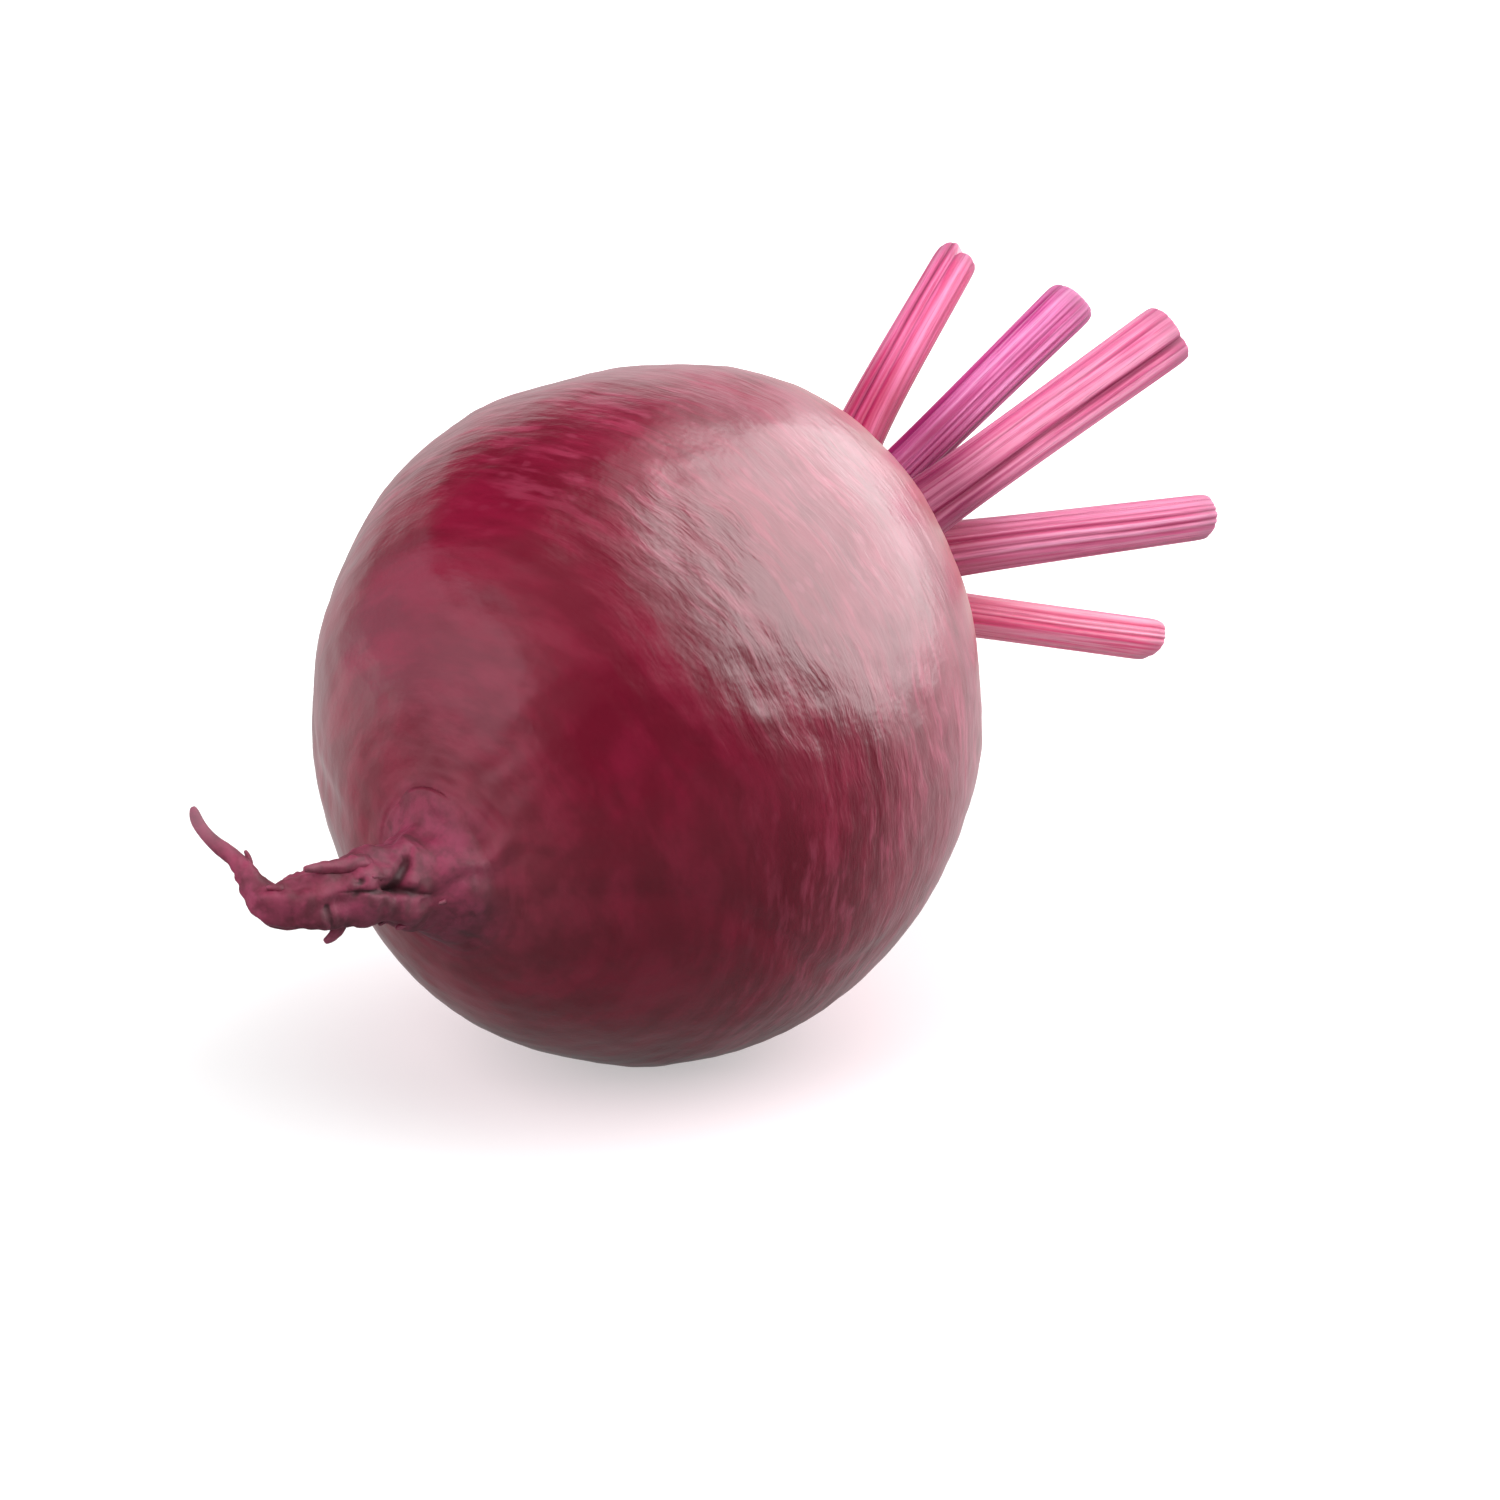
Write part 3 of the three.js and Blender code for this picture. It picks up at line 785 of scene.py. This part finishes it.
def separate(tree, vector):
    return addNode(tree, "SeparateXYZ", {0: vector}).outputs


def noise(tree, place, scale, detail, roughness=0.5):
    return addNode(tree, "TexNoise", {
        "Vector": place, "Scale": scale, "Detail": detail, "Roughness": roughness}).outputs[0]


def streakGroup():   # long thin streaks: noise squeezed across and stretched along
    inputs = {"Vector": None, "Across": 900.0, "Along": 40.0, "Low": 0.42, "High": 0.62}
    tree, given, out = newGroup("fineStreaks", inputs, ["Mask", "Height"])
    stretch = combine(tree, given["Across"], given["Across"], given["Along"])
    grain = noise(tree, vectorMath(tree, "MULTIPLY", given["Vector"], stretch)[0], 1.0, 3.0, 0.6)
    fillInputs(tree, out, {"Mask": ramp(tree, grain, given["Low"], given["High"]), "Height": grain})
    return tree


def speckleGroup():   # scattered small marks
    inputs = {"Vector": None, "Scale": 900.0, "Size": 0.3, "Amount": 0.5}
    tree, given, out = newGroup("speckles", inputs, ["Mask"])
    cells = addNode(tree, "TexVoronoi", {
        "Vector": given["Vector"], "Scale": given["Scale"], "Randomness": 1.0}).outputs
    near = ramp(tree, cells["Distance"], times(tree, given["Size"], 0.5), given["Size"], 1.0, 0.0)
    pick = addNode(tree, "SeparateColor", {0: cells["Color"]}).outputs[0]
    chosen = math2(tree, "LESS_THAN", pick, given["Amount"])
    fillInputs(tree, out, {"Mask": times(tree, near, chosen)})
    return tree


def placeGroup(tree, group, vector, values):
    return addNode(tree, "Group", {"Vector": vector, **values}, node_tree=group).outputs


def bumped(tree, height, strength, distance):
    return addNode(tree, "Bump", {
        "Height": height, "Strength": strength, "Distance": distance}).outputs[0]


def newMaterial(name):
    material = bpy.data.materials.new(name)
    material.use_nodes = True
    return material, material.node_tree, material.node_tree.nodes["Principled BSDF"]


def layOver(tree, color, skin, layers):   # colours laid one over another, each by its amount and share
    for name, amount in layers:
        shade, share = skin[name][:3], skin[name][3:]
        color = mixColor(tree, times(tree, amount, *share) if share else amount, color, linear(*shade))
    return color


def mask(tree, name):
    return addNode(tree, "Attribute", attribute_name=name).outputs["Fac"]


rootSkin = {
    # red, green, blue from 0 to 255, and how fully the colour lies over those before it
    "dark": (106, 0, 32),
    "bright": (140, 10, 52),
    # pale streaks along the rings: partly dust, partly painted glints of light on the ring wrinkles
    "dustAndGlints": (184, 84, 112, 0.42),
    # pale towards the crown: partly paler skin, partly a painted highlight where the key light's reflection
    # falls
    "paleShoulderAndHighlight": (178, 88, 112, 0.6),
    "tan": (196, 122, 112, 0.55),
    "fleck": (184, 84, 112, 0.18),
    "pit": (106, 0, 32, 0.25),
    "tail": (140, 30, 74),
    "tailDark": (84, 2, 36),
    "tip": (160, 104, 122, 0.4),
    "russet": (142, 80, 70, 0.7),
    "scar": (108, 44, 46, 0.6),
    "flake": (206, 150, 134, 0.5),
    # painted shade in the tail's creases
    "crease": (66, 0, 22, 1.0),
    "roughness": 0.275,
    "roughnessSpread": 0.03,
    "dullness": 0.42,          # added on the tail
    "crownDullness": 0.7,      # share of that on the crown
    "specular": 1.0,
    "ior": 1.6,
    "bump": 0.09 * mm,
}

rootPattern = {
    # scale, detail and roughness of each noise
    "blotches": (55.0, 2.0),
    "clouds": (160.0, 3.0, 0.6),
    "mottle": (420.0, 3.0, 0.62),
    "grain": (1500.0, 0.0),
    "rings": {"Across": 4.5, "Along": 800.0, "Low": 0.48, "High": 0.66},
    "bands": {"Across": 2.2, "Along": 230.0, "Low": 0.38, "High": 0.66},
    "pits": {"Across": 9.0, "Along": 1000.0, "Low": 0.5, "High": 0.64},
    "flecks": {"Scale": 1.0, "Size": 0.4, "Amount": 0.3},
    "fleckStretch": (15.0, 15.0, 760.0),
    "wander": 6 * mm,   # how far the rings stray
    # from the middle towards the crown, where each begins and where it is full
    "upper": (-20 * mm, 22 * mm),
    "marked": (-31 * mm, -8 * mm),  # the lower end is smoother and darker
    "tan": (16 * mm, 34 * mm),
}


def rootMaterial(streaks, speckles):
    s, p = rootSkin, rootPattern
    material, tree, shader = newMaterial("beetSkin")
    coordinates = addNode(tree, "TexCoord").outputs["Object"]
    turned = addNode(tree, "Mapping", {
        "Vector": coordinates, "Location": tuple(rootMiddle),
        "Rotation": (rootShape["tilt"] - math.pi / 2, 0, 0),
    }, vector_type="TEXTURE").outputs[0]
    side, top, along = separate(tree, turned)
    around = separate(tree, vectorMath(tree, "NORMALIZE", combine(tree, side, top))[0])
    blotches = noise(tree, coordinates, *p["blotches"])
    clouds = noise(tree, coordinates, *p["clouds"])
    mottle = noise(tree, coordinates, *p["mottle"])
    # the rings wander a little, so distance along the skin is shifted by the blotches
    reach = multiplyAdd(tree, blotches, p["wander"], mask(tree, "reach"))
    skinPlace = combine(tree, around[0], around[1], reach)
    rings = placeGroup(tree, streaks, skinPlace, p["rings"])
    bands = placeGroup(tree, streaks, skinPlace, p["bands"])
    pits = placeGroup(tree, streaks, skinPlace, p["pits"])
    fleckPlace = vectorMath(tree, "MULTIPLY", skinPlace, p["fleckStretch"])[0]
    flecks = placeGroup(tree, speckles, fleckPlace, p["flecks"])
    marked = ramp(tree, along, *p["marked"])
    # deep crimson, with broken lighter rings
    ringsShown = times(tree, rings["Mask"], marked)
    tone = multiplyAdd(tree, bands["Mask"], 0.5, times(tree, ringsShown, 0.5))
    color = mixColor(tree, tone, linear(*s["dark"]), linear(*s["bright"]))
    color = layOver(tree, color, s, [
        # pale streaks along the rings: partly dust, partly painted glints of light on the ring wrinkles
        ("dustAndGlints", times(tree, ringsShown, ramp(tree, blotches, 0.4, 0.62))),
        # pale towards the crown: partly paler skin, partly a painted highlight where the key light's
        # reflection falls
        ("paleShoulderAndHighlight", times(tree, ramp(tree, along, *p["upper"]), ramp(tree, clouds, 0.1, 0.75))),
        ("tan", ramp(tree, along, *p["tan"])),
        ("fleck", times(tree, flecks["Mask"], marked)),
        ("pit", pits["Mask"]),
    ])
    # the tail is dull and mottled, from crimson to mauve
    tail = ramp(tree, multiplyAdd(tree, clouds, 0.4, mask(tree, "tail")), 0.8, 1.4)
    tailColor = mixColor(tree, ramp(tree, mottle, 0.3, 0.66), linear(*s["tailDark"]), linear(*s["tail"]))
    color = mixColor(tree, tail, color, tailColor)
    crown = mask(tree, "crown")
    color = layOver(tree, color, s, [
        ("tip", mask(tree, "tip")),
        ("russet", times(tree, crown, ramp(tree, clouds, 0.4, 0.6))),
        ("scar", ramp(tree, multiplyAdd(tree, mottle, 0.5, mask(tree, "scars")), 0.5, 0.8)),
        ("flake", times(tree, crown, ramp(tree, mottle, 0.52, 0.64))),
        # painted shade in the tail's creases
        ("crease", times(tree, ramp(tree, mask(tree, "dents"), 0.2, 0.9), ramp(tree, mottle, 0.2, 0.5))),
    ])
    rough = multiplyAdd(tree, clouds, s["roughnessSpread"], s["roughness"])
    dull = math2(tree, "MAXIMUM", times(tree, crown, s["crownDullness"]), mask(tree, "tail"))
    # the tail and the crown are corky, the rest has fine rings
    corky = math2(tree, "MAXIMUM", times(tree, tail, 3.0), times(tree, crown, 3.5))
    grain = multiplyAdd(tree, mottle, corky, times(tree, noise(tree, coordinates, *p["grain"]), 0.2))
    lines = multiplyAdd(tree, rings["Height"], 0.9, pits["Height"])
    height = multiplyAdd(tree, lines, multiplyAdd(tree, marked, 0.75, 0.25), grain)
    fillInputs(tree, shader, {
        "Base Color": color,
        "Roughness": multiplyAdd(tree, dull, s["dullness"], rough),
        "Specular IOR Level": s["specular"],
        "IOR": s["ior"],
        "Normal": bumped(tree, height, 1.0, s["bump"]),
    })
    return material


# footShare: where the dark foot starts to fade and where it ends, along the stem
# the highlight colour is a painted highlight along the light lines
stemSkins = [
    {"light": (232, 116, 164), "deep": (206, 68, 120), "line": (128, 22, 70), "paintedHighlight": (240, 160, 200),
     "foot": (168, 30, 78), "rimReflection": (196, 130, 152), "end": (172, 108, 134), "footShare": (0.32, 0.66)},
    {"light": (226, 126, 182), "deep": (194, 64, 134), "line": (122, 14, 82), "paintedHighlight": (240, 166, 212),
     "foot": (140, 8, 80), "rimReflection": (190, 126, 160), "end": (176, 112, 144), "footShare": (0.26, 0.62)},
    {"light": (240, 148, 184), "deep": (216, 88, 140), "line": (134, 16, 68), "paintedHighlight": (244, 166, 196),
     "foot": (118, 2, 62), "rimReflection": (200, 138, 160), "end": (182, 112, 140), "footShare": (0.12, 0.46)},
    {"light": (240, 140, 180), "deep": (214, 84, 134), "line": (146, 28, 76), "paintedHighlight": (244, 172, 204),
     "foot": (154, 20, 70), "rimReflection": (206, 122, 156), "end": (186, 120, 148), "footShare": (0.12, 0.5)},
    {"light": (254, 160, 190), "deep": (246, 76, 134), "line": (190, 44, 96), "paintedHighlight": (250, 180, 200),
     "foot": (190, 44, 86), "rimReflection": (242, 104, 150), "end": (180, 108, 134), "footShare": (0.15, 0.6)},
]

stemFinish = {
    "roughness": 0.42,
    "specular": 0.32,
    "glow": 0.2,
    "glowColor": (1.0, 0.4, 0.6),
    "glowReach": 1.2 * mm,
    "bump": 0.12 * mm,
    "bumpStrength": 0.8,
    "fibres": {"Across": 3.6, "Along": 1.3, "Low": 0.42, "High": 0.6},
    "fine": {"Across": 13.0, "Along": 3.0, "Low": 0.46, "High": 0.6},
    "hairs": {"Across": 22.0, "Along": 5.0, "Low": 0.56, "High": 0.64},
    "pith": {"Scale": 1200.0, "Size": 0.45, "Amount": 0.7},
    "flesh": (228, 168, 186),
    # how fully each shows
    "fineShare": 0.4,
    "hairShare": 0.35,
    # the rim colour's share is a painted reflection on the edges that turn from the view
    "rimReflectionShare": 0.6,
    "endShare": 0.5,
    "pithShare": 0.75,
}


def stemMaterial(name, skin, streaks, speckles):
    s = stemFinish
    material, tree, shader = newMaterial(name)
    coordinates = addNode(tree, "TexCoord").outputs["Object"]
    turn = times(tree, mask(tree, "roundStem"), fullTurn)
    share = mask(tree, "share")
    place = combine(tree, math2(tree, "COSINE", turn), math2(tree, "SINE", turn), share)
    fibres = placeGroup(tree, streaks, place, s["fibres"])
    fine = placeGroup(tree, streaks, place, s["fine"])
    hairs = placeGroup(tree, streaks, place, s["hairs"])
    footness = ramp(tree, share, *skin["footShare"], 1.0, 0.0)
    broken = ramp(tree, fine["Height"], 0.3, 0.55)
    darker = times(tree, mask(tree, "darkLine"), multiplyAdd(tree, broken, 0.4, 0.45))
    facing = addNode(tree, "LayerWeight", {"Blend": 0.5}).outputs["Facing"]
    color = layOver(tree, linear(*skin["deep"]), skin, [
        ("light", fibres["Mask"]),
        ("deep", times(tree, fine["Mask"], s["fineShare"])),
        ("foot", times(tree, footness, multiplyAdd(tree, fibres["Mask"], -0.25, 0.95))),
        # painted highlight along the light lines, weaker at the dark foot
        ("paintedHighlight", times(tree, mask(tree, "lightLine"), multiplyAdd(tree, footness, -0.6, 0.75))),
        ("line", math2(tree, "MAXIMUM", darker, times(tree, hairs["Mask"], s["hairShare"]))),
        # painted greyish reflection along the edges that turn from the view
        ("rimReflection", ramp(tree, facing, 0.6, 1.0, 0.0, s["rimReflectionShare"])),
        ("end", times(tree, mask(tree, "toEnd"), s["endShare"])),
    ])
    # the cut face: pale flesh, with a ring of darker bundles
    pith = placeGroup(tree, speckles, coordinates, s["pith"])
    inRing = times(tree, ramp(tree, mask(tree, "inside"), 0.3, 0.45), pith["Mask"])
    endColor = layOver(tree, linear(*s["flesh"]), skin, [("deep", times(tree, inRing, s["pithShare"]))])
    color = mixColor(tree, mask(tree, "cutEnd"), color, endColor)
    fillInputs(tree, shader, {
        "Base Color": color,
        "Roughness": s["roughness"],
        "Specular IOR Level": s["specular"],
        "Subsurface Weight": s["glow"],
        "Subsurface Radius": s["glowColor"],
        "Subsurface Scale": s["glowReach"],
        "Normal": bumped(tree, fine["Height"], s["bumpStrength"], s["bump"]),
    })
    return material


streaks = streakGroup()
speckles = speckleGroup()
beetSkin = rootMaterial(streaks, speckles)
makeRoot(beetSkin)
makeRootlets(beetSkin)
for index, (spec, skin) in enumerate(zip(stems, stemSkins), 1):
    piece = makeStem(f"leafStem{index}", spec, stemShape["net"], index)
    finishPiece(piece, [f"stem_{index}"],
                stemMaterial(f"stemSkin{index}", skin, streaks, speckles))
stubSkin = stemMaterial("stubSkin", stemSkins[0], streaks, speckles)
for index, spec in enumerate(youngStubs, 1):
    piece = makeStem(f"youngStub{index}", spec, stemShape["stubNet"], stemShape["stubSeed"] + index)
    finishPiece(piece, ["beet_root"], stubSkin)
print("pieces made")


def stand(name, data, location, turned):   # a camera or a lamp at its place
    made = bpy.data.objects.new(name, data)
    scene.collection.objects.link(made)
    made.location = location
    made.rotation_mode = "QUATERNION"
    made.rotation_quaternion = turned
    return made


scene = bpy.context.scene
viewTurn = Euler((math.radians(90 - view["elevation"]), 0, math.radians(view["azimuth"])))
viewRight, viewUp, viewToward = viewTurn.to_matrix().col
aim = Vector(rootMiddle) + viewRight * view["aimRight"] + viewUp * view["aimUp"]
lens = bpy.data.cameras.new("camera")
lens.lens = view["lens"]
lens.sensor_width = view["sensor"]
scene.camera = stand("camera", lens, aim + viewToward * view["distance"], viewTurn.to_quaternion())

# where each panel is: to the right, up and towards the camera; turned in its own plane by degrees
lights = {
    "keyPanel": {"from": (0.82, 0.57, 0.0), "away": 0.9, "size": (1.9, 1.4), "turned": -48, "power": 20},
    "keyEdge": {"from": (0.66, 0.74, 0.14), "away": 0.93, "size": (2.2, 1.8), "turned": -48, "power": 8},
    "leftPanel": {"from": (-0.97, -0.02, 0.15), "away": 0.9, "size": (1.7, 1.25), "turned": 8, "power": 3.3,
                  "color": (1, 0.84, 1)},
    "sideFill": {"from": (-0.65, 0.35, 0.65), "away": 1.0, "size": (1.0, 1.0), "turned": 0, "power": 12,
                 "glossy": False},
}


def addLight(name, spec):
    light = bpy.data.lights.new(name, "AREA")
    light.shape = "RECTANGLE"
    light.size, light.size_y = spec["size"]
    light.energy = spec["power"]
    light.color = spec.get("color", (1, 1, 1))
    x, y, z = spec["from"]
    way = (viewRight * x + viewUp * y + viewToward * z).normalized()
    inPlane = Quaternion((0, 0, 1), math.radians(spec["turned"]))
    lamp = stand(name, light, Vector(rootMiddle) + way * spec["away"],
                 way.to_track_quat("Z", "Y") @ inPlane)
    lamp.visible_glossy = spec.get("glossy", True)
    lamp.visible_camera = False


for name, spec in lights.items():
    addLight(name, spec)

# a bright wall behind the beetroot, seen white, with a dim studio around it
wall = {"behind": 0.9, "around": 0.02, "from": 0.5, "to": 0.78, "seen": 1.0}
world = bpy.data.worlds.new("studio")
scene.world = world
world.use_nodes = True
tree = world.node_tree
direction = addNode(tree, "TexCoord").outputs["Generated"]
behind = vectorMath(tree, "DOT_PRODUCT", direction, tuple(-viewToward))[1]
strength = ramp(tree, behind, wall["from"], wall["to"], wall["around"], wall["behind"])
isCamera = addNode(tree, "LightPath").outputs["Is Camera Ray"]
shown = addNode(tree, "Mix", {0: isCamera, 2: strength, 3: wall["seen"]}, data_type="FLOAT").outputs[0]
fillInputs(tree, tree.nodes["Background"], {"Color": (1, 1, 1, 1), "Strength": shown})

floorLook = {
    "size": 6,
    "drop": 0.2 * mm,
    "roughness": 0.9,
    "shade": (0.42, 0.42, 0.42),        # as light meets it
    "shadeSeen": (0.62, 0.62, 0.62),    # as the camera sees it
    # painted red bounce light from the root, on the floor close to it
    "shadeRedBounce": (0.6, 0.48, 0.51),    # the root's red on the floor
    "shadeMirrored": (0.04, 0.04, 0.04),
    "close": (20 * mm, 56 * mm),
    # how brightly it glows to the camera, near and far from the beetroot
    "glow": (0.45, 1.0),
    "glowAt": (70 * mm, 320 * mm),
    # how brightly it glows in reflections, in front and behind
    "mirrorGlow": (0.0, 0.75),
    "mirrorAt": (-60 * mm, 60 * mm),
}
deselectAll()
bpy.ops.mesh.primitive_plane_add(size=floorLook["size"], location=(0, 0, -floorLook["drop"]))
floor = bpy.context.object
floor.name = "floor"
floorMaterial, tree, shader = newMaterial("paleFloor")
rays = addNode(tree, "LightPath").outputs
floorPlace = addNode(tree, "TexCoord").outputs["Object"]
away = vectorMath(tree, "LENGTH", floorPlace)[1]
glow = ramp(tree, away, *floorLook["glowAt"], *floorLook["glow"])
backwards = Vector((-viewToward.x, -viewToward.y, 0)).normalized()
behindRoot = vectorMath(tree, "DOT_PRODUCT", floorPlace, tuple(backwards))[1]
mirrorGlow = ramp(tree, behindRoot, *floorLook["mirrorAt"], *floorLook["mirrorGlow"])
emitted = multiplyAdd(tree, rays["Is Camera Ray"], glow, times(tree, rays["Is Glossy Ray"], mirrorGlow))
shades = {name: (*value, 1) for name, value in floorLook.items() if name.startswith("shade")}
# painted red bounce light near the root, fading into the plain floor colour
seen = mixColor(tree, ramp(tree, away, *floorLook["close"]), shades["shadeRedBounce"], shades["shadeSeen"])
shade = mixColor(tree, rays["Is Camera Ray"], shades["shade"], seen)
shade = mixColor(tree, rays["Is Glossy Ray"], shade, shades["shadeMirrored"])
fillInputs(tree, shader, {
    "Base Color": shade,
    "Roughness": floorLook["roughness"],
    "Specular IOR Level": 0.0,
    "Emission Color": (1, 1, 1, 1),
    "Emission Strength": emitted,
})
floor.data.materials.append(floorMaterial)
scene.view_settings.view_transform = "Standard"
print("stage set")
